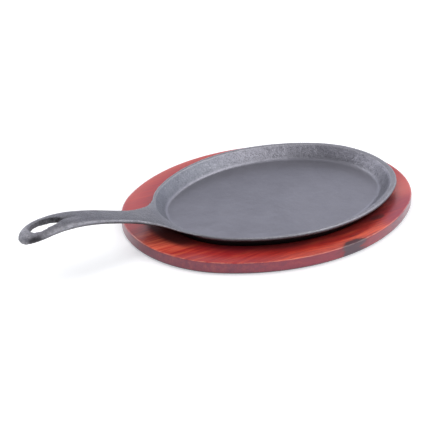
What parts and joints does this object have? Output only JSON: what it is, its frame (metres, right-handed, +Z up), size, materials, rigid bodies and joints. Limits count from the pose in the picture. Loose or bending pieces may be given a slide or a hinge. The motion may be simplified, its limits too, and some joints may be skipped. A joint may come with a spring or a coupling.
{
  "type": "sizzle platter",
  "caption": "Oval cast iron skillet with a long arched handle and a hanging hole, resting on an oval lacquered wooden underliner board",
  "frame": {"origin": "middle of the flat underside of the board, where the platter stands on the table", "axes": "+X runs along the long axis, away from the handle; +Y runs across the width; +Z is up, out of the dish"},
  "size_m": [0.3803, 0.217, 0.0495],
  "materials": {
    "iron": "grey, bare, dull satin with a fine pebbly casting texture",
    "wood": "red mahogany stain under clear gloss lacquer, long straight grain with one dark knot"
  },
  "bodies": {
    "root": {"skillet": "iron", "board": "wood"}
  },
  "joints": []
}
